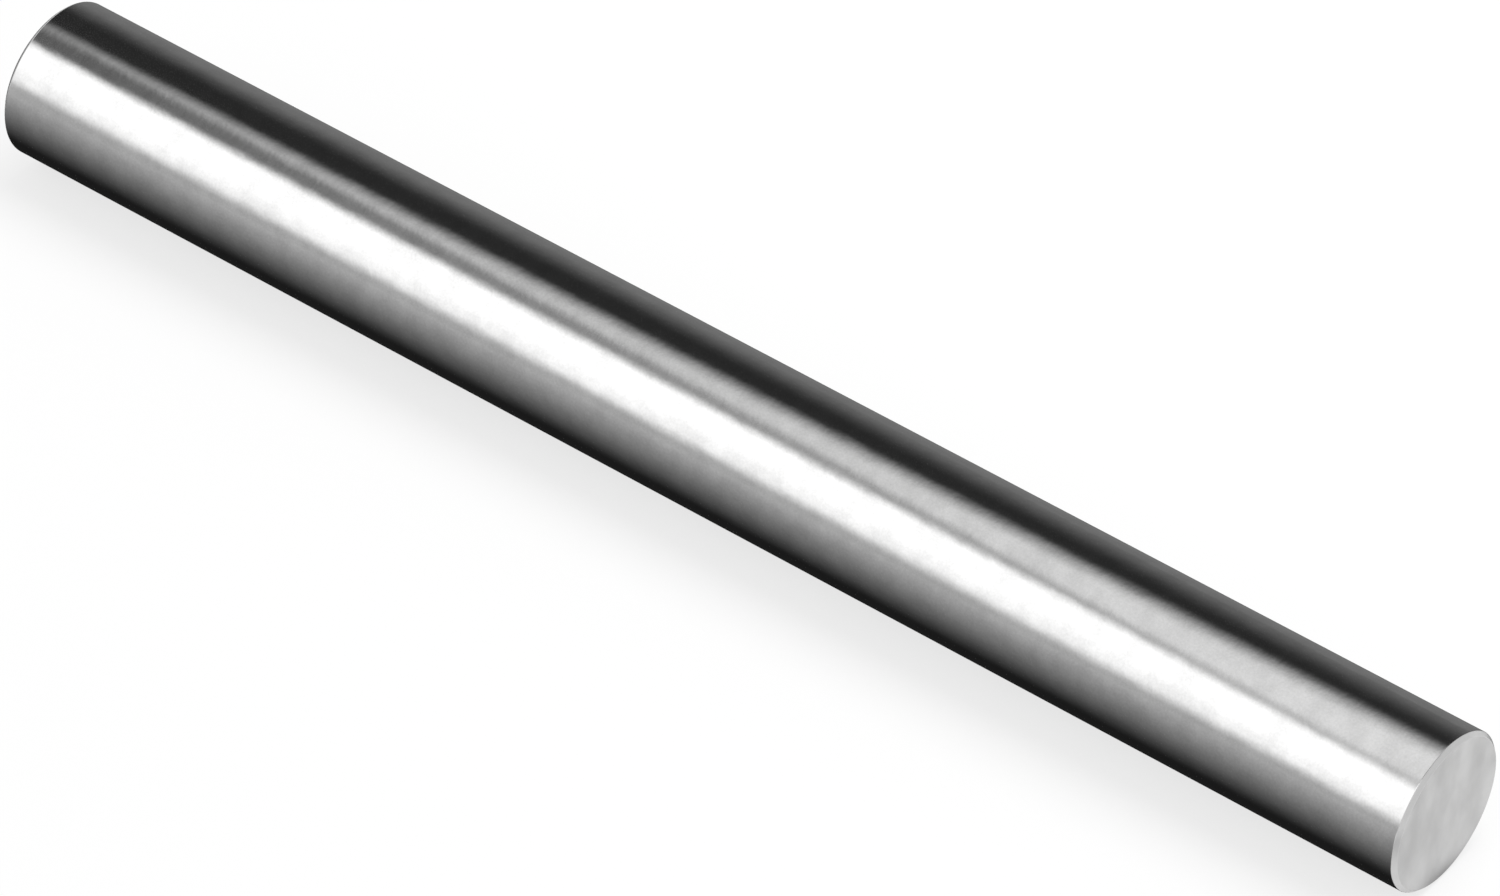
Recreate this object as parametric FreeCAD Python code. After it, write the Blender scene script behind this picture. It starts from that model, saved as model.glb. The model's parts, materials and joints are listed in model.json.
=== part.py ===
import FreeCAD, Part
import os

# A short length of stainless steel round bar, lying on a level floor with its axis along X.
# Lengths are in millimetres. The origin is on the floor, under the middle of the bar.

# The bar is drawn and ground to this size, one of the usual metric diameters.
BAR_DIAMETER = 30.0
# It is cut off and faced square at both ends, to one foot.
BAR_LENGTH = 305.0
# Each end has its sharp edge broken by a 45 degree chamfer with this leg.
EDGE_BREAK = 0.8

ALONG = FreeCAD.Vector(1, 0, 0)
UP = FreeCAD.Vector(0, 0, 1)


def round_section(diameter, length):
    """The section of the stock: a disc square to the axis, at the far end, that touches the floor below."""
    radius = diameter / 2
    centre = UP * radius - ALONG * (length / 2)
    return Part.Face(Part.Wire(Part.Circle(centre, ALONG, radius).toShape()))


def end_edges(blank):
    """The two full circles where the ground surface meets the sawn and faced ends."""
    return [edge for edge in blank.Edges if edge.isClosed() and isinstance(edge.Curve, Part.Circle)]


def round_bar(diameter, length, edge_break):
    """The section drawn out to the cut length, with the edges of both ends broken."""
    blank = round_section(diameter, length).extrude(ALONG * length)
    return blank.makeChamfer(edge_break, end_edges(blank)).Solids[0]


SUBPARTS = {
    "round_bar": round_bar(BAR_DIAMETER, BAR_LENGTH, EDGE_BREAK),
}

os.makedirs("parts", exist_ok=True)
for node, shape in SUBPARTS.items():
    shape.exportStep(f"parts/{node}.step")
    print(f"{node}: {shape.ShapeType}, {shape.Volume:.1f} mm3, closed and valid: {shape.isValid()}")
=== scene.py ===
# %% [markdown]
# # A short length of polished stainless steel round bar
#
# The object is one solid piece of metal: drawn to size, ground and polished along its length, sawn off,
# faced flat at both ends, with the sharp edge of each end broken by a small chamfer. Its shape is simple,
# so almost all of its look is what it mirrors. This lesson makes the shape exactly, gives each surface the
# finish that its tool left, and then builds the small studio that the bar mirrors.

# %% Load the frame
import bpy
import bmesh
import json
import math
from mathutils import Matrix, Vector


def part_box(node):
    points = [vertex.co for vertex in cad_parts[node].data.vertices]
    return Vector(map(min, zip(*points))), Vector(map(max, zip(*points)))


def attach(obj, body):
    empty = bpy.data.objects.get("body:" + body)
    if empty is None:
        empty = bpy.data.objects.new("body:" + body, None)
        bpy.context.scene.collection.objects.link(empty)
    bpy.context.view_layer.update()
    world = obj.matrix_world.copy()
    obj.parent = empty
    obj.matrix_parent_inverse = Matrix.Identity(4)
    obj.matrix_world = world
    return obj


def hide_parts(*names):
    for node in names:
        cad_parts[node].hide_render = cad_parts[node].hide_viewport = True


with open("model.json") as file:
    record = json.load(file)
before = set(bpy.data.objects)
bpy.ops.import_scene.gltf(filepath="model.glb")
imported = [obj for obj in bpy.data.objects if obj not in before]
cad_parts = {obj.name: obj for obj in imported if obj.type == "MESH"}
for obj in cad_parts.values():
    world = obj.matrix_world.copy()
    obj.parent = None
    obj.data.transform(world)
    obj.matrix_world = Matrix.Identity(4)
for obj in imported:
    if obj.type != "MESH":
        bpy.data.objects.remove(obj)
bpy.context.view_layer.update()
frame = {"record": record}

# %% [markdown]
# ## Sizes
#
# Nothing is measured twice. The frame holds the bar's box, and the record holds the stretch of full
# diameter that a clamp can take, which is the length without its two chamfers. All else follows from these.
# Lengths are in metres, the bar lies on the floor along X, and the origin is on the floor under its middle.

# %% The bar's own sizes
MM = 0.001
lowest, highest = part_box("round_bar")
LENGTH = highest[0] - lowest[0]
RADIUS = (highest[2] - lowest[2]) / 2
clamped = next(mount for mount in frame["record"]["mounts"] if mount["name"] == "outside_diameter")
EDGE_BREAK = (LENGTH - clamped["dims"]["length_mm"] * MM) / 2
AXIS_HEIGHT = RADIUS
print(f"bar: {LENGTH / MM:.1f} mm long, {RADIUS / MM:.1f} mm radius, {EDGE_BREAK / MM:.2f} mm edge break")

# %% [markdown]
# ## The shape
#
# The frame's own mesh has some forty flats round the bar. That is plenty for resting and colliding, but a
# polished cylinder shows every flat as a kink in its reflections, so the looks need a finer one. A cylinder
# primitive with a bevel would do, but the order in which the real bar is made is just as short: a disc, the
# section of the stock, is drawn out along X. It is drawn in three steps, and the outer two widen and narrow
# it, which makes the chamfers. Where two finished surfaces meet there is always a hair of rounding that
# catches the light, which is added afterwards.

# %% Draw the section out into a bar
ROUND_STEPS = 384


def draw_out(mesh, faces, distance, widening=1.0):
    """Extrudes these end faces along X, scales their rim, and returns the faces of the new end."""
    region = faces + [edge for face in faces for edge in face.edges]
    drawn = bmesh.ops.extrude_face_region(mesh, geom=region)["geom"]
    corners = [item for item in drawn if isinstance(item, bmesh.types.BMVert)]
    bmesh.ops.translate(mesh, verts=corners, vec=(distance, 0, 0))
    about_axis = Matrix.Translation((0, 0, -AXIS_HEIGHT))
    bmesh.ops.scale(mesh, verts=corners, vec=(1, widening, widening), space=about_axis)
    return [item for item in drawn if isinstance(item, bmesh.types.BMFace)]


bar_mesh = bmesh.new()
face_radius = RADIUS - EDGE_BREAK
upright = Matrix.Translation((-LENGTH / 2, 0, AXIS_HEIGHT)) @ Matrix.Rotation(math.radians(90), 4, "Y")
bmesh.ops.create_circle(bar_mesh, cap_ends=True, segments=ROUND_STEPS, radius=face_radius, matrix=upright)
end = draw_out(bar_mesh, bar_mesh.faces[:], EDGE_BREAK, RADIUS / face_radius)
end = draw_out(bar_mesh, end, LENGTH - 2 * EDGE_BREAK)
end = draw_out(bar_mesh, end, EDGE_BREAK, face_radius / RADIUS)
bmesh.ops.recalc_face_normals(bar_mesh, faces=bar_mesh.faces[:])
closed = all(edge.is_manifold for edge in bar_mesh.edges)
print(f"bar mesh: {len(bar_mesh.faces)} faces, closed {closed}, {bar_mesh.calc_volume() / MM**3:.0f} mm3")

# %% [markdown]
# Three tools made the three kinds of surface, so each gets its own finish: the grinder worked along the
# side, the facing tool across the ends, and the edge cutter round the chamfers. The direction in which a
# face looks says which tool made it.

# %% Name the three kinds of surface
GROUND, FACED, BROKEN = range(3)
SQUARE_ON = math.radians(15)
RIM_ANGLE = math.radians(30)


def kind_of(face):
    """Which tool made this face: the grinder, the facing tool or the edge cutter."""
    along = abs(face.normal.x)
    if along > math.cos(SQUARE_ON):
        return FACED
    return GROUND if along < math.sin(SQUARE_ON) else BROKEN


for face in bar_mesh.faces:
    face.smooth = True
    face.material_index = kind_of(face)
for edge in bar_mesh.edges:
    edge.smooth = edge.calc_face_angle() < RIM_ANGLE
kinds = [face.material_index for face in bar_mesh.faces]
print(f"faces: {kinds.count(GROUND)} ground, {kinds.count(FACED)} faced, {kinds.count(BROKEN)} broken")

# %% [markdown]
# The rims between the three get a bevel far smaller than the chamfer. Smooth shading blends the normals of
# neighbouring faces, and the blend between a tiny bevel and the long side would run the whole length of the
# bar and bend every reflection. Harden Normals keeps the blend inside the bevel.

# %% Make the bar's object and round its rims
RIM_ROUNDING = 0.15 * MM
RIM_STEPS = 4

bar = bpy.data.objects.new("polished_round_bar", bpy.data.meshes.new("polished_round_bar"))
bar_mesh.to_mesh(bar.data)
bar_mesh.free()
bpy.context.scene.collection.objects.link(bar)
rounding = bar.modifiers.new("rim_rounding", "BEVEL")
rounding.width = RIM_ROUNDING
rounding.segments = RIM_STEPS
rounding.limit_method = "ANGLE"
rounding.angle_limit = RIM_ANGLE
rounding.harden_normals = True
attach(bar, "root")
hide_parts("round_bar")
print(f"{bar.name}: rims rounded by {RIM_ROUNDING / MM:.2f} mm")

# %% [markdown]
# ## Writing shader maths as Python
#
# A finish is worked out from place on the bar: how far along, how far from the axis, how far round. Such
# sums are easier to read as Python than as a web of boxes. A `Signal` wraps the output of a node, and
# adding or multiplying two of them adds the Math node that does it. A `Recipe` is one material's tree, and
# its `node` method is the only way that any other node is made.

# %% Two small helpers
class Signal:
    """A number, vector or colour that flows between shader nodes."""

    def __init__(self, recipe, socket):
        self.recipe = recipe
        self.socket = socket

    def maths(self, operation, *others):
        return self.recipe.maths(operation, self, *others)

    def __add__(self, other):
        return self.maths("ADD", other)

    def __sub__(self, other):
        return self.maths("SUBTRACT", other)

    def __rsub__(self, other):
        return self.recipe.maths("SUBTRACT", other, self)

    def __mul__(self, other):
        return self.maths("MULTIPLY", other)

    def __truediv__(self, other):
        return self.maths("DIVIDE", other)

    def __rtruediv__(self, other):
        return self.recipe.maths("DIVIDE", other, self)

    def __pow__(self, other):
        return self.maths("POWER", other)

    __radd__ = __add__
    __rmul__ = __mul__


class Recipe:
    """The nodes of one material or of the world."""

    def __init__(self, owner):
        owner.use_nodes = True
        self.tree = owner.node_tree
        self.tree.nodes.clear()

    def node(self, kind, settings=None, sockets=None, output=0):
        """Adds a node, sets its settings, then its sockets, and returns one of its outputs."""
        made = self.tree.nodes.new("ShaderNode" + kind)
        for name, value in (settings or {}).items():
            setattr(made, name, value)
        for name, value in (sockets or {}).items():
            if isinstance(value, Signal):
                self.tree.links.new(value.socket, made.inputs[name])
            else:
                made.inputs[name].default_value = value
        return Signal(self, made.outputs[output]) if made.outputs else None

    def maths(self, operation, *values):
        return self.node("Math", {"operation": operation}, dict(enumerate(values)))

    def place(self):
        """The place on the object in metres, as a vector and as x, y and height above the bar's axis."""
        spot = self.node("TexCoord", output="Object")
        x, y, z = (self.node("SeparateXYZ", None, {"Vector": spot}, axis) for axis in "XYZ")
        return spot, x, y, z - AXIS_HEIGHT

    def fade(self, value, low, high):
        """Goes smoothly from 0 where the value is low to 1 where it is high."""
        sockets = {"Value": value, "From Min": low, "From Max": high}
        return self.node("MapRange", {"interpolation_type": "SMOOTHSTEP"}, sockets)

    def noise(self, spot, waves, detail=2.0):
        """Noise from 0 to 1, with that many waves to the metre along X, Y and Z."""
        scaled = self.node("VectorMath", {"operation": "MULTIPLY"}, {0: spot, 1: waves})
        sockets = {"Vector": scaled, "Scale": 1.0, "Detail": detail}
        return self.node("TexNoise", None, sockets, "Fac")


# %% [markdown]
# ## The metal
#
# Stainless steel is a neutral grey metal: a Metallic of 1, with a Base Color that is the share of light it
# mirrors straight on, a little over six tenths. What differs between its surfaces is how finely they are
# cut. Each finish below is therefore the same metal with its own Roughness and its own height map.
#
# The Mix node has a set of sockets for each type of data, all under the same names, so the ones for colours
# go by number.

# %% The metal that all three finishes share
WARMTH = 0.001
MIX_FROM, MIX_TO, MIXED_COLOUR = 6, 7, 2


def grey(level):
    """The neutral grey of stainless steel, with the least hint of warmth."""
    return (level + WARMTH, level, level - WARMTH, 1.0)


def steel(name, greys, cloudiness, roughness, heights):
    """A steel between two greys, with its tint, gloss and relief worked out from place on the bar."""
    material = bpy.data.materials.new(name)
    recipe = Recipe(material)
    place = recipe.place()
    darkest, lightest = greys
    mixed = {"Factor": cloudiness(recipe, *place), MIX_FROM: grey(darkest), MIX_TO: grey(lightest)}
    tint = recipe.node("Mix", {"data_type": "RGBA"}, mixed, MIXED_COLOUR)
    relief = recipe.node("Bump", None, {"Height": heights(recipe, *place), "Distance": 1.0}, "Normal")
    surface = recipe.node(
        "BsdfPrincipled", None,
        {"Base Color": tint, "Metallic": 1.0, "Roughness": roughness(recipe, *place), "Normal": relief},
    )
    recipe.node("OutputMaterial", None, {"Surface": surface})
    print(f"{name}: {len(recipe.tree.nodes)} nodes")
    return material


# %% [markdown]
# ### The ground and polished side
#
# A bar is ground while it spins and creeps forward, and is then polished until the grinding lines are gone.
# Their last trace runs round the bar and makes its gloss a little uneven. What stays too is a fine grain,
# about a millimetre from speck to speck, and a ripple, a few hundredths of a millimetre high and a few
# millimetres long: too little to feel, but enough to make the edge of every mirrored band waver.

# %% The ground side
GROUND_GREYS = (0.52, 0.72)
CLOUD_WAVES = (260, 200, 200)
CLOUD_RANGE = (0.25, 0.75)
CLOUD_SHARE = 0.4
SPECK_WAVES = (2200, 2200, 2200)
GROUND_ROUGHNESS, GROUND_UNEVENNESS = 0.09, 0.05
GRINDING_WAVES = (2600, 60, 60)
RIPPLE_WAVES = (150, 330, 330)
RIPPLE_HEIGHT = 0.03 * MM
GRAIN_WAVES = (800, 550, 550)
GRAIN_HEIGHT = 0.013 * MM


def ground_clouds(recipe, spot, x, y, up):
    clouds = recipe.fade(recipe.noise(spot, CLOUD_WAVES, detail=4.0), *CLOUD_RANGE)
    specks = recipe.noise(spot, SPECK_WAVES, detail=1.0)
    return clouds * CLOUD_SHARE + specks * (1 - CLOUD_SHARE)


def ground_roughness(recipe, spot, x, y, up):
    return GROUND_ROUGHNESS + GROUND_UNEVENNESS * recipe.noise(spot, GRINDING_WAVES)


def ground_heights(recipe, spot, x, y, up):
    ripple = recipe.noise(spot, RIPPLE_WAVES, detail=1.0)
    grain = recipe.noise(spot, GRAIN_WAVES, detail=2.0)
    return ripple * RIPPLE_HEIGHT + grain * GRAIN_HEIGHT


ground_side = steel(
    "ground_and_polished_side", GROUND_GREYS, ground_clouds, ground_roughness, ground_heights
)

# %% [markdown]
# ### The faced ends
#
# The ends are cut by a tool that travels from the rim to the middle while the bar turns, which leaves fine
# rings, and are then rubbed satin up and down. Distance from the axis drives the rings, so they are true
# circles. The rubbing shows as soft upright streaks, a noise that is stretched in height.

# %% The faced ends
FACED_GREYS = (0.45, 0.625)
RUBBING_WAVES = (150, 130, 80)
RUBBING_RANGE = (0.2, 0.8)
FACED_ROUGHNESS, FACED_UNEVENNESS = 0.34, 0.12
SATIN_WAVES = (150, 150, 150)
PITTING_WAVES = (1500, 1500, 1500)
RING_PITCH = 0.16 * MM
RING_HEIGHT = 0.00045 * MM
PITTING_HEIGHT = 4 * RING_HEIGHT


def rings(recipe, y, up):
    """1 on the ridge between two passes of the facing tool, 0 in the groove."""
    outward = (y * y + up * up) ** 0.5
    turns = outward * (2 * math.pi / RING_PITCH)
    return turns.maths("SINE") * 0.5 + 0.5


def faced_clouds(recipe, spot, x, y, up):
    return recipe.fade(recipe.noise(spot, RUBBING_WAVES, detail=3.0), *RUBBING_RANGE)


def faced_roughness(recipe, spot, x, y, up):
    return FACED_ROUGHNESS + FACED_UNEVENNESS * recipe.noise(spot, SATIN_WAVES)


def faced_heights(recipe, spot, x, y, up):
    return rings(recipe, y, up) * RING_HEIGHT + recipe.noise(spot, PITTING_WAVES) * PITTING_HEIGHT


faced_end = steel("faced_end", FACED_GREYS, faced_clouds, faced_roughness, faced_heights)

# %% [markdown]
# ### The broken edge
#
# The chamfer is a single light cut, a little finer than the face beside it. It leans halfway between the
# face and the side, so it mirrors another part of the room than either, and is seen as a narrow rim round
# the end.

# %% The broken edge
CUT_GREYS = (0.55, 0.65)
CUT_CLOUD_WAVES = (400, 250, 250)
CUT_ROUGHNESS, CUT_UNEVENNESS = 0.28, 0.08
CUT_GLOSS_WAVES = (600, 200, 200)
CUT_WAVES = (1200, 500, 500)
CUT_HEIGHT = 0.0012 * MM


def broken_clouds(recipe, spot, x, y, up):
    return recipe.noise(spot, CUT_CLOUD_WAVES)


def broken_roughness(recipe, spot, x, y, up):
    return CUT_ROUGHNESS + CUT_UNEVENNESS * recipe.noise(spot, CUT_GLOSS_WAVES)


def broken_heights(recipe, spot, x, y, up):
    return recipe.noise(spot, CUT_WAVES) * CUT_HEIGHT


broken_edge = steel("broken_edge", CUT_GREYS, broken_clouds, broken_roughness, broken_heights)
for material in (ground_side, faced_end, broken_edge):
    bar.data.materials.append(material)

# %% [markdown]
# ## The floor and the white around it
#
# The bar lies on a white floor in a white room. The floor is a real matt surface, so it keeps the bar's
# shadow. It is topped up with a plain white glow for whatever looks at it: the camera, and also the metal,
# because a mirror has to show the same white room that the camera sees.

# %% The white floor
FLOOR_REACH = 9.0
FLOOR_STEPS = 96
FLOOR_TINT = (0.96, 0.96, 0.96, 1.0)
GLOW_SHARE = 0.74
WHITE = (1.0, 1.0, 1.0, 1.0)


def looking(recipe):
    """1 for a ray from the camera, or one that a mirror or glass sends on, and 0 for light on its way."""
    camera, glossy, through = (
        recipe.node("LightPath", output=name)
        for name in ("Is Camera Ray", "Is Glossy Ray", "Is Transmission Ray")
    )
    return camera.maths("MAXIMUM", glossy).maths("MAXIMUM", through)


def white_floor():
    material = bpy.data.materials.new("white_floor")
    recipe = Recipe(material)
    matt = recipe.node("BsdfDiffuse", None, {"Color": FLOOR_TINT})
    glow = recipe.node("Emission", None, {"Color": WHITE, "Strength": 1.0})
    surface = recipe.node("MixShader", None, {0: looking(recipe) * GLOW_SHARE, 1: matt, 2: glow})
    recipe.node("OutputMaterial", None, {"Surface": surface})
    return material


floor_mesh = bmesh.new()
bmesh.ops.create_circle(floor_mesh, cap_ends=True, segments=FLOOR_STEPS, radius=FLOOR_REACH)
floor = bpy.data.objects.new("floor", bpy.data.meshes.new("floor"))
floor_mesh.to_mesh(floor.data)
floor_mesh.free()
floor.data.materials.append(white_floor())
bpy.context.scene.collection.objects.link(floor)
print(f"floor: {FLOOR_REACH:.0f} m to each side")

# %% [markdown]
# The world is as white as the floor to whatever looks at it, and lights the bar at about half of that.

# %% The white room
ROOM_LEVEL = 0.55

world = bpy.data.worlds.new("white_room")
bpy.context.scene.world = world
room = Recipe(world)
level = looking(room) * (1.0 - ROOM_LEVEL) + ROOM_LEVEL
background = room.node("Background", None, {"Color": WHITE, "Strength": level})
room.node("OutputWorld", None, {"Surface": background})
print(f"white room: lights at {ROOM_LEVEL}, looks like 1.0")

# %% [markdown]
# ## The tunnel of cloth that the metal mirrors
#
# A polished cylinder in a plain white room has no shape: it mirrors white everywhere. A photographer hangs
# cards and cloth along it, each of which shows as one stripe from end to end. A bright soft box stands in
# front of the bar, a dimmer cloth hangs over it, and a black card stands behind. Here they are one half
# pipe round the bar, and its glow is a sum of such lights. The pipe is hidden from the camera and from the
# floor: only the mirror rays of the metal meet it.
#
# Places on the pipe are given by the angle round the bar, from 0 at the horizon in front, through 90
# straight up, to 180 at the horizon behind. The stripes are not quite parallel, just as they are in a real
# studio, so an edge is written as two numbers: its angle over the middle of the bar, and the degrees that
# it turns for each metre outward from there.

# %% What every card and cloth needs
def card_object(name, mesh, material):
    """Makes the object, and hides it from all but the rays that a glossy surface sends out."""
    card = bpy.data.objects.new(name, bpy.data.meshes.new(name))
    mesh.to_mesh(card.data)
    mesh.free()
    card.data.materials.append(material)
    bpy.context.scene.collection.objects.link(card)
    card.visible_camera = False
    card.visible_diffuse = False
    card.visible_transmission = False
    card.visible_volume_scatter = False
    card.visible_shadow = False
    print(f"{name}: {len(card.data.polygons)} faces, {len(material.node_tree.nodes)} nodes")


def glowing(name, brightness):
    """A material that glows with a brightness worked out from the place on the card."""
    material = bpy.data.materials.new(name)
    recipe = Recipe(material)
    glow = recipe.node("Emission", None, {"Color": WHITE, "Strength": brightness(recipe, *recipe.place())})
    recipe.node("OutputMaterial", None, {"Surface": glow})
    material.cycles.emission_sampling = "NONE"
    return material


def past(recipe, angle, out, edge, softness):
    """0 below an edge on the pipe and 1 above it, blended over that many degrees to each side."""
    over_middle, turn = edge
    middle_of_blend = over_middle + turn * out
    return recipe.fade(angle, middle_of_blend - softness, middle_of_blend + softness)


# %% [markdown]
# The soft box is brightest in its core. Its lower edge is soft, and below it the pipe shows the grey line
# where the floor meets the wall.

# %% The soft box in front
FLOOR_LINE_LEVEL = 0.54
BOX_LEVEL = 0.88
BOX_LOW_EDGE = (10.0, 10.0)
BOX_LOW_SOFTNESS = 9.0
CORE_LEVEL = 0.25
CORE_EDGE = (27.0, 10.0)
CORE_SOFTNESS = 10.0
BOX_TOP_EDGE = (58.5, 29.0)
BOX_TOP_SOFTNESS = 8.0


def soft_box(recipe, angle, out):
    box = BOX_LEVEL * past(recipe, angle, out, BOX_LOW_EDGE, BOX_LOW_SOFTNESS)
    core = CORE_LEVEL * past(recipe, angle, out, CORE_EDGE, CORE_SOFTNESS)
    return box + core + FLOOR_LINE_LEVEL


# %% [markdown]
# The dimmer cloth overhead is lit in a pool over the middle and grows dark towards the ends. Between it and
# the box hangs a darker gap, which deepens outward. The cloth's rear edge is bowed: it lies lowest a little
# way out, and is softest over the middle.

# %% The cloth overhead
POOL_LEVEL = 1.07
POOL_REACH = 0.624
POOL_FLOOR = 0.1
GAP_LEVEL = 0.57
GAP_OVER_MIDDLE = 0.74
GAP_DEEPENING = 0.8
CLOTH_LOW_EDGE = (62.5, 71.0)
CLOTH_LOW_SOFTNESS = 7.0
REAR_EDGE = 108.7
REAR_EDGE_LOWEST_AT = 0.42
REAR_EDGE_BOW = 100.0
REAR_SOFTNESS = 18.0
REAR_SHARPENING = 40.0
SHARPEST_AT = 0.5


def overhead_cloth(recipe, angle, out):
    pool = (POOL_LEVEL * (1 - (out / POOL_REACH) ** 2.0)).maths("MAXIMUM", POOL_FLOOR)
    gap = (GAP_OVER_MIDDLE - GAP_DEEPENING * out).maths("MINIMUM", GAP_LEVEL)
    above_gap = past(recipe, angle, out, CLOTH_LOW_EDGE, CLOTH_LOW_SOFTNESS)
    rear_edge = REAR_EDGE + REAR_EDGE_BOW * (out - REAR_EDGE_LOWEST_AT) ** 2.0
    softness = REAR_SOFTNESS - REAR_SHARPENING * out.maths("MINIMUM", SHARPEST_AT) ** 2.0
    behind = recipe.fade(angle, rear_edge - softness, rear_edge + softness)
    return pool * (gap + (1 - gap) * above_gap) * (1 - behind)


# %% [markdown]
# The black card behind grows paler down to the horizon. White cloth closes both ends of the tunnel, and
# behind the near end it comes closer, so that the upper rim of that end is light.

# %% The black card behind and the white cloth at the ends
BLACK_LEVEL = 0.031
HAZE_LEVEL = 0.175
HAZE_FROM, HAZE_TO = 138.0, 186.0
HAZE_OVER_MIDDLE, HAZE_GROWTH = 0.8, 0.6
WHITE_CLOTH_LEVEL = 0.88
WHITE_FROM, WHITE_TO = 0.56, 0.68
NEAR_WHITE_FROM, NEAR_WHITE_TO = 0.1, 0.3
NEAR_WHITE_ABOVE, NEAR_WHITE_FULL = 100.0, 130.0


def black_card(recipe, angle, out):
    haze = recipe.fade(angle, HAZE_FROM, HAZE_TO) * (HAZE_OVER_MIDDLE + HAZE_GROWTH * out)
    return BLACK_LEVEL + HAZE_LEVEL * haze


def white_cloth(recipe, angle, x, out):
    """1 where the white cloth hangs, and 0 where the stripes are seen."""
    near_end = recipe.fade(x, NEAR_WHITE_FROM, NEAR_WHITE_TO)
    behind_near_end = near_end * recipe.fade(angle, NEAR_WHITE_ABOVE, NEAR_WHITE_FULL)
    return recipe.fade(out, WHITE_FROM, WHITE_TO).maths("MAXIMUM", behind_near_end)


# %% [markdown]
# The pipe is one line along X, spun from the front horizon over the bar to the one behind. It goes a few
# degrees further on both sides, so that no gap shows between it and the floor.

# %% Hang the tunnel
PIPE_RADIUS = 0.6
PIPE_REACH = 3.0
PIPE_STEPS = 96
PIPE_BELOW = math.radians(3.0)


def tunnel_glow(recipe, spot, x, y, up):
    angle = y.maths("ARCTAN2", up) * (180 / math.pi) + 90
    out = x.maths("ABSOLUTE")
    above_box = past(recipe, angle, out, BOX_TOP_EDGE, BOX_TOP_SOFTNESS)
    lights = soft_box(recipe, angle, out) * (1 - above_box) + overhead_cloth(recipe, angle, out) * above_box
    stripes = lights + black_card(recipe, angle, out)
    white = white_cloth(recipe, angle, x, out)
    return stripes * (1 - white) + WHITE_CLOTH_LEVEL * white


pipe_mesh = bmesh.new()
front_edge = (-PIPE_RADIUS * math.cos(PIPE_BELOW), AXIS_HEIGHT - PIPE_RADIUS * math.sin(PIPE_BELOW))
ends = [
    bmesh.ops.create_vert(pipe_mesh, co=(x, *front_edge))["vert"][0] for x in (-PIPE_REACH, PIPE_REACH)
]
line = pipe_mesh.edges.new(ends)
bmesh.ops.spin(
    pipe_mesh, geom=[*ends, line], cent=(0, 0, AXIS_HEIGHT), axis=(1, 0, 0),
    angle=-(math.pi + 2 * PIPE_BELOW), steps=PIPE_STEPS, use_merge=False,
)
card_object("cloth_tunnel", pipe_mesh, glowing("tunnel_glow", tunnel_glow))

# %% [markdown]
# A card lies along each side of the bar too, just above the floor. Its glow is painted shade: dark near the
# bar, as the bar's own shadow would be, and as bright as the wall further out. So the lower part of the bar
# mirrors this painted shadow and darkens steadily down to a black line where it meets the floor. The cards
# widen past the far end, so that no mirror ray from the side passes them by. At the near end they stop with
# the bar, which leaves the white floor before the face free, and reach past it only beyond a shoulder.

# %% The cards beside the bar, glowing with painted shade
CARD_LIFT = 0.2 * MM
CARD_BASE = 0.015
CARD_FLARE = 1.3
CARD_INNER = RADIUS * 0.2
CARD_OUTER = PIPE_RADIUS * 1.02
CARD_OVERLAP = 12 * MM
CARD_NEAR_END = LENGTH / 2 - EDGE_BREAK
CARD_NEAR_SOFTNESS = 1.5 * MM
FRONT_LEVEL = 0.62
FRONT_SHOULDER = (20 * MM, 40 * MM)
BACK_LEVEL = 0.203
BACK_SHADE_REACH = 60 * MM
BACK_SHOULDER = (100 * MM, 160 * MM)


def flat_card(name, corners, brightness, lift=CARD_LIFT):
    """A card just above the floor, with these corners in order."""
    mesh = bmesh.new()
    mesh.faces.new([bmesh.ops.create_vert(mesh, co=(x, y, lift))["vert"][0] for x, y in corners])
    card_object(name, mesh, glowing(name + "_glow", brightness))


def side_shade_card(name, side, shoulder, shade):
    """Lies along one side of the bar, glows with a painted shade of the bar, and is left white past the
    near end as far out as the shoulder.
    """
    def glow(recipe, spot, x, y, up):
        away = y * side
        dark = shade(recipe, away) + CARD_BASE
        dark_end = CARD_NEAR_END + CARD_OVERLAP * recipe.fade(away, *shoulder)
        bare = recipe.fade(x - dark_end, -CARD_NEAR_SOFTNESS, 0.0)
        return dark * (1 - bare) + bare

    near_end, far_end = CARD_NEAR_END + CARD_OVERLAP, -LENGTH / 2 - CARD_OVERLAP
    corners = [
        (near_end, side * CARD_INNER), (near_end, side * CARD_OUTER),
        (far_end - CARD_FLARE * CARD_OUTER, side * CARD_OUTER), (far_end, side * CARD_INNER),
    ]
    flat_card(name, corners, glow)


def front_shade(recipe, away):
    """Painted shade of the bar, as if it shut off part of the light; the shade thins out slowly."""
    shut_off = RADIUS / away.maths("MAXIMUM", RADIUS)
    return (1 - shut_off) ** 2.0 * FRONT_LEVEL


# Painted shade of the bar behind it: dark by the bar, and even past its reach.
def back_shade(recipe, away):
    return recipe.fade(away, 0.0, BACK_SHADE_REACH) * BACK_LEVEL


side_shade_card("front_shade_card", -1, FRONT_SHOULDER, front_shade)
side_shade_card("back_shade_card", 1, BACK_SHOULDER, back_shade)

# %% [markdown]
# Smaller cards finish the ends. The white glow of the floor has no shadow in it, so a small dark patch
# under each end stands for the shade where the bar touches the floor, and the foot of the satin face
# darkens as it should. The near one is stretched wide. The far one stays narrow, since the side mirrors the
# floor past that end too. A wider, softer patch in front of the near end greys the left of its rim. An even
# grey card past the far end gives the far chamfer its thin grey line.

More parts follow.
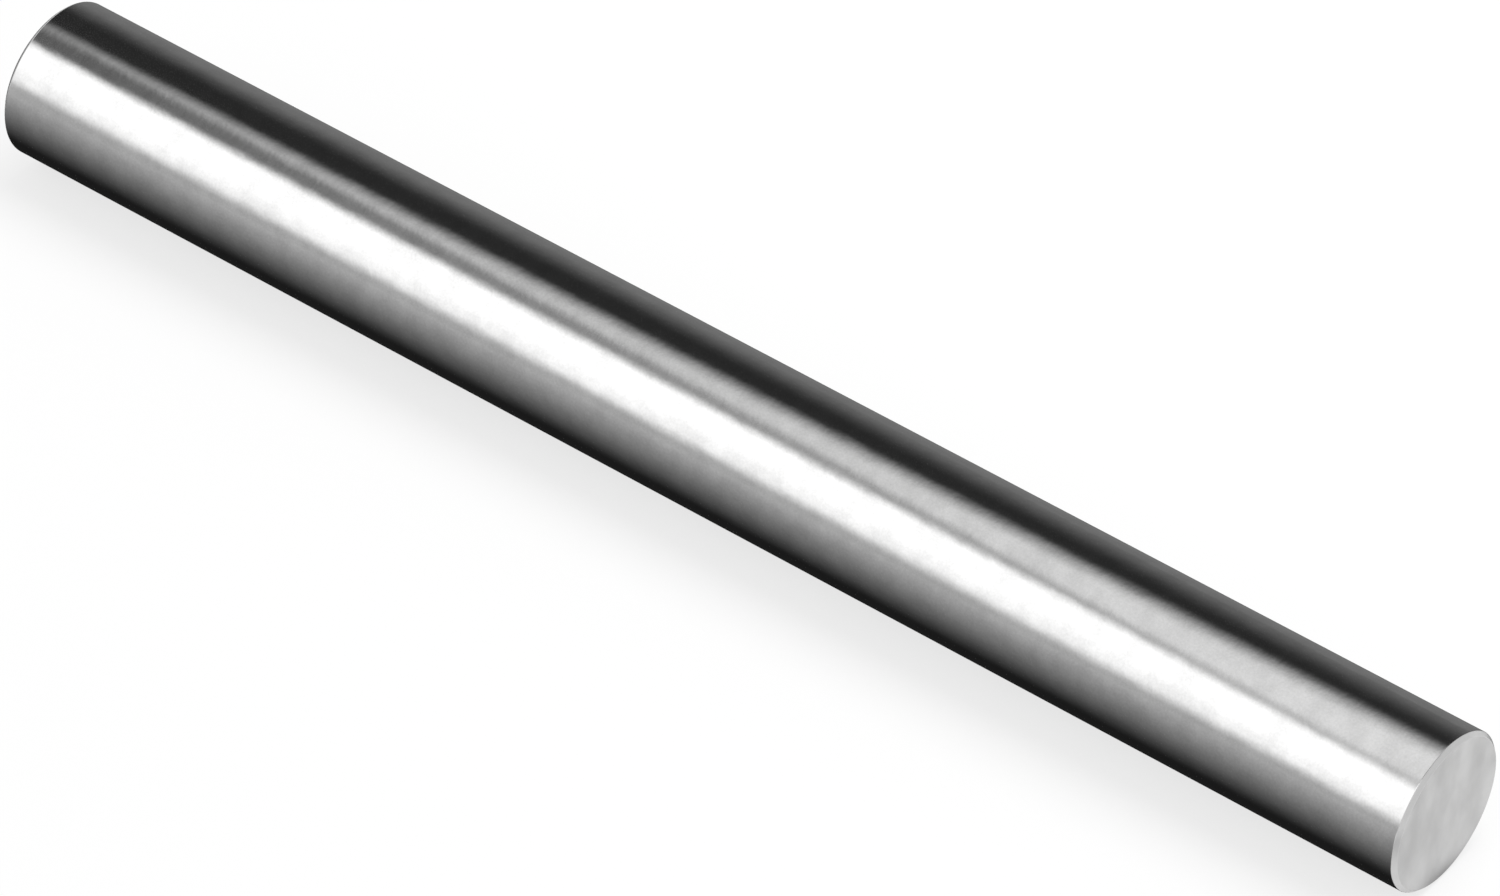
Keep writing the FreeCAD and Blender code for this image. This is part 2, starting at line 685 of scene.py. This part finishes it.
# %% The cards at the ends
CONTACT_REACH = 3.5 * MM
CONTACT_LIFT = 0.3 * MM
NEAR_CONTACT = {"level": 0.42, "stretch": 4.5}
FAR_CONTACT = {"level": 0.3, "stretch": 2.0}
PATCH_LIFT = 0.25 * MM
PATCH_PLACE = (LENGTH / 2 + 36 * MM, -45 * MM)
PATCH_REACH = 40 * MM
PATCH_LEVEL = 0.5
END_CARD_LEVEL = 0.18
END_CARD_FROM, END_CARD_TO = 22 * MM, 300 * MM
END_CARD_FRONT, END_CARD_BACK = -20 * MM, 60 * MM


def patch_card(name, place, sides, reach, level, lift, stretch=1.0):
    """Darkest at a place, and fades into the white within its reach, which is stretched along Y."""
    middle_x, middle_y = place
    front, back = middle_y - reach * stretch, middle_y + reach * stretch

    def shade(recipe, spot, x, y, up):
        away = ((x - middle_x) ** 2.0 + ((y - middle_y) / stretch) ** 2.0) ** 0.5
        return level + (1 - level) * recipe.fade(away, 0.0, reach)

    corners = [(sides[0], front), (sides[1], front), (sides[1], back), (sides[0], back)]
    flat_card(name, corners, shade, lift)


def end_card(name):
    """An even grey, on the floor past the far end."""
    def even_grey(recipe, spot, x, y, up):
        return END_CARD_LEVEL

    near, far = -LENGTH / 2 - END_CARD_FROM, -LENGTH / 2 - END_CARD_TO
    corners = [(near, END_CARD_FRONT), (near, END_CARD_BACK), (far, END_CARD_BACK), (far, END_CARD_FRONT)]
    flat_card(name, corners, even_grey)


for name, end, shade in (("near_contact_card", 1, NEAR_CONTACT), ("far_contact_card", -1, FAR_CONTACT)):
    rim = end * LENGTH / 2
    sides = (rim - end * EDGE_BREAK, rim + end * CONTACT_REACH)
    patch_card(name, (rim, 0), sides, CONTACT_REACH, lift=CONTACT_LIFT, **shade)
sides = (LENGTH / 2 + CARD_OVERLAP, PATCH_PLACE[0] + PATCH_REACH)
patch_card("near_patch_card", PATCH_PLACE, sides, PATCH_REACH, PATCH_LEVEL, PATCH_LIFT)
end_card("far_end_card")

# %% [markdown]
# ## The lamp
#
# One broad lamp hangs above and a little behind, and gives the bar its soft shadow. It stays out of the
# mirror, where the tunnel takes its place.

# %% The lamp
LAMP_PLACE = Vector((0.3, 0.5, 1.6))
LAMP_WIDTH = 1.2
LAMP_POWER = 18.0

lamp = bpy.data.lights.new("overhead_lamp", "AREA")
lamp.shape = "DISK"
lamp.size = LAMP_WIDTH
lamp.energy = LAMP_POWER
holder = bpy.data.objects.new("overhead_lamp", lamp)
holder.location = LAMP_PLACE
holder.rotation_euler = LAMP_PLACE.to_track_quat("Z", "Y").to_euler()
holder.visible_glossy = False
bpy.context.scene.collection.objects.link(holder)
print(f"lamp: {LAMP_POWER:.0f} W, {LAMP_PLACE.length:.2f} m from the bar")

# %% [markdown]
# ## The camera
#
# The photograph was taken from above and to the side with a long lens, which keeps the two long edges of
# the bar almost parallel. The camera stands on a line from the point it looks at, at the photograph's
# angle.

# %% The camera
CAMERA_LENS = 240.0
SENSOR_WIDTH = 36.0
CAMERA_TURN = math.radians(37.953)
CAMERA_RISE = math.radians(42.867)
CAMERA_DISTANCE = 1.7297
LOOKS_AT = Vector((4.793, 1.108, 12.765)) * MM

towards_camera = Vector((
    math.sin(CAMERA_TURN) * math.cos(CAMERA_RISE),
    -math.cos(CAMERA_TURN) * math.cos(CAMERA_RISE),
    math.sin(CAMERA_RISE),
))
lens = bpy.data.cameras.new("camera")
lens.lens = CAMERA_LENS
lens.sensor_width = SENSOR_WIDTH
lens.clip_start = 10 * MM
camera = bpy.data.objects.new("camera", lens)
camera.location = LOOKS_AT + towards_camera * CAMERA_DISTANCE
camera.rotation_euler = towards_camera.to_track_quat("Z", "Y").to_euler()
bpy.context.scene.collection.objects.link(camera)
bpy.context.scene.camera = camera
bpy.context.scene.view_settings.view_transform = "Standard"
print(f"camera: sees {CAMERA_DISTANCE * SENSOR_WIDTH / CAMERA_LENS / MM:.0f} mm across at the bar")

# %% [markdown]
# ## Last step
#
# The finished bar has to fill the same box as the frame. This cell only brings the scene up to date.

# %% Bring the scene up to date
bpy.context.view_layer.update()
